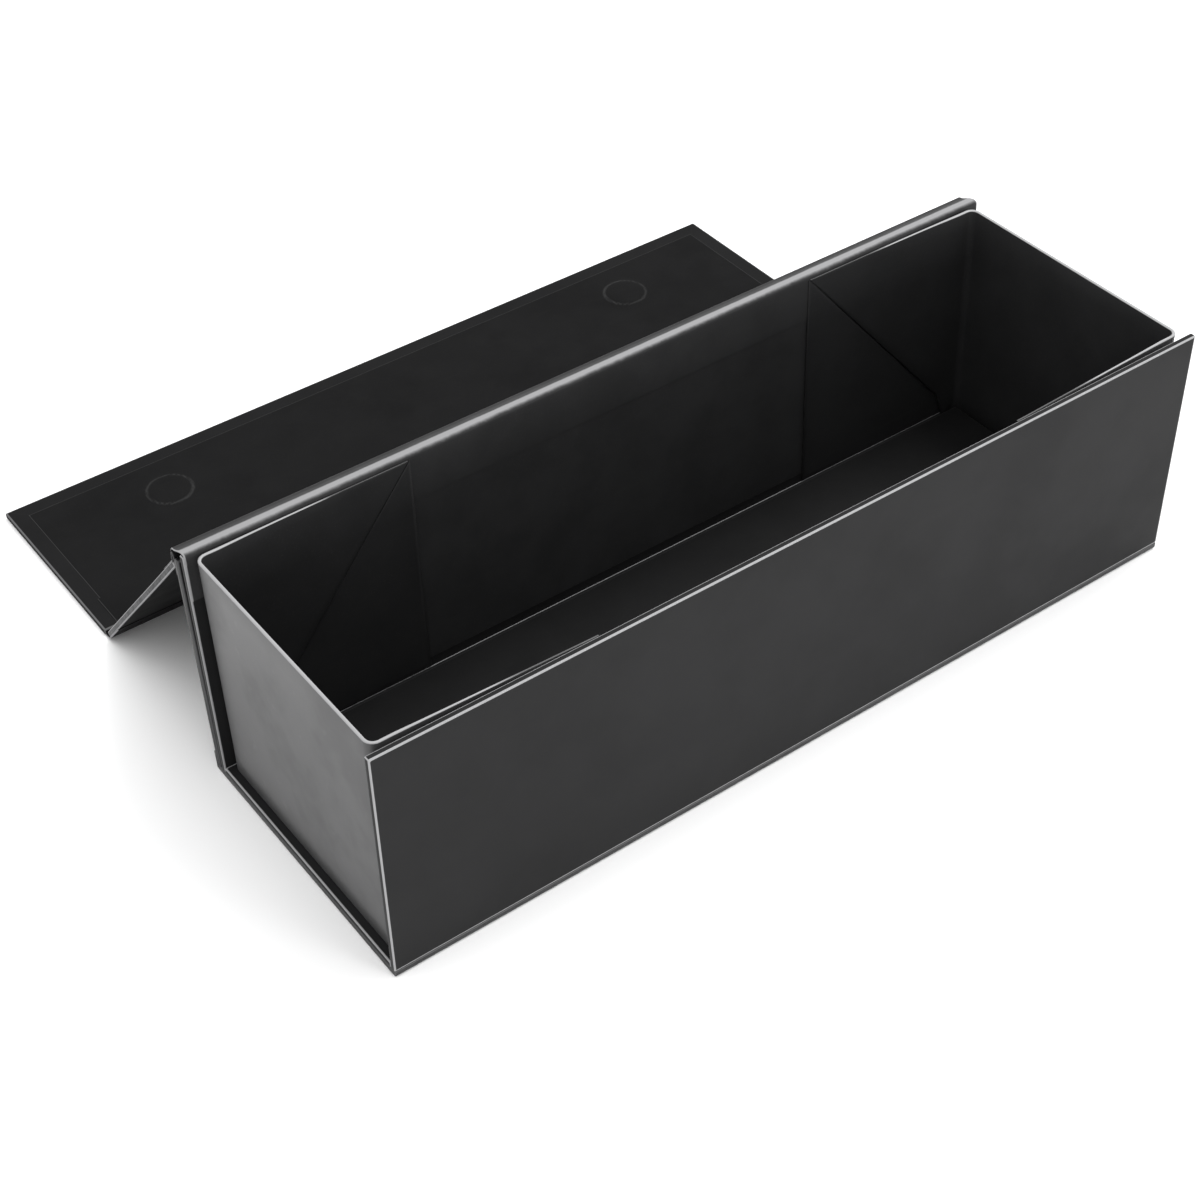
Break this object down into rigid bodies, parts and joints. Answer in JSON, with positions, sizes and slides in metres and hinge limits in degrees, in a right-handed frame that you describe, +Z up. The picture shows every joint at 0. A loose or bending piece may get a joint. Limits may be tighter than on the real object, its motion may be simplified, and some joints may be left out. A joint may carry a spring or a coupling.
{
  "type": "card storage box",
  "caption": "Long collapsible card storage box of wrapped board: open tray with creased folding end walls, hinged lid and magnetic front flap, and a loose floor insert.",
  "frame": {"origin": "centre of the underside of the closed box's footprint, on the surface it stands on", "axes": "+X along the box's length, +Y towards the side where the lid is hinged, +Z up"},
  "size_m": [0.35, 0.2919, 0.1007],
  "materials": {
    "wrapping_paper": "matt black laminated wrapping paper with a soft sheen",
    "lining_paper": "uncoated black lining paper",
    "greyboard": "dense grey-brown board, hidden inside the paper",
    "gusset_card": "black card with a matt laminate",
    "insert_card": "black card, matt",
    "magnet": "nickel-plated disc magnet, hidden inside the board",
    "keeper_plate": "plain steel disc, hidden inside the board",
    "tape": "thin double-sided adhesive strip under its release liner"
  },
  "bodies": {
    "box": {"back_rim_lining": "lining_paper", "base_spine_fold": "wrapping_paper", "cover_base_board": "greyboard", "cover_base_wrap": "wrapping_paper", "left_back_gusset_lower": "gusset_card", "left_back_gusset_tape": "tape", "left_back_gusset_upper": "gusset_card", "left_end_wall": "gusset_card", "left_front_gusset_lower": "gusset_card", "left_front_gusset_tape": "tape", "left_front_gusset_upper": "gusset_card", "left_keeper": "keeper_plate", "right_back_gusset_lower": "gusset_card", "right_back_gusset_tape": "tape", "right_back_gusset_upper": "gusset_card", "right_end_wall": "gusset_card", "right_front_gusset_lower": "gusset_card", "right_front_gusset_tape": "tape", "right_front_gusset_upper": "gusset_card", "right_keeper": "keeper_plate", "spine_board": "greyboard", "spine_wrap": "wrapping_paper", "tray_back_board": "greyboard", "tray_back_lining": "lining_paper", "tray_back_wrap": "wrapping_paper", "tray_base_board": "greyboard", "tray_base_lining": "lining_paper", "tray_base_wrap": "wrapping_paper", "tray_front_board": "greyboard", "tray_front_lining": "lining_paper", "tray_front_wrap": "wrapping_paper"},
    "lid": {"lid_board": "greyboard", "lid_fold_strip": "wrapping_paper", "lid_hinge_strip": "lining_paper", "lid_lining": "lining_paper", "lid_wrap": "wrapping_paper"},
    "flap": {"flap_board": "greyboard", "flap_fold_strip": "wrapping_paper", "flap_lining": "lining_paper", "flap_wrap": "wrapping_paper", "left_flap_magnet": "magnet", "right_flap_magnet": "magnet"},
    "insert": {"floor_insert": "insert_card"}
  },
  "joints": [
    {"name": "lid_hinge", "type": "hinge", "parent": "box", "child": "lid", "pos_m": [0, 0.0642, 0.0984], "axis": [1, 0, 0], "range_deg": [0, 228.67]},
    {"name": "flap_hinge", "type": "hinge", "parent": "lid", "child": "flap", "pos_m": [0, 0.14337, 0.0005], "axis": [1, 0, 0], "range_deg": [0, 41.33]},
    {"name": "insert_lift", "type": "slide", "parent": "box", "child": "insert", "axis": [0, 0, 1], "range_m": [0, 0.09]}
  ]
}
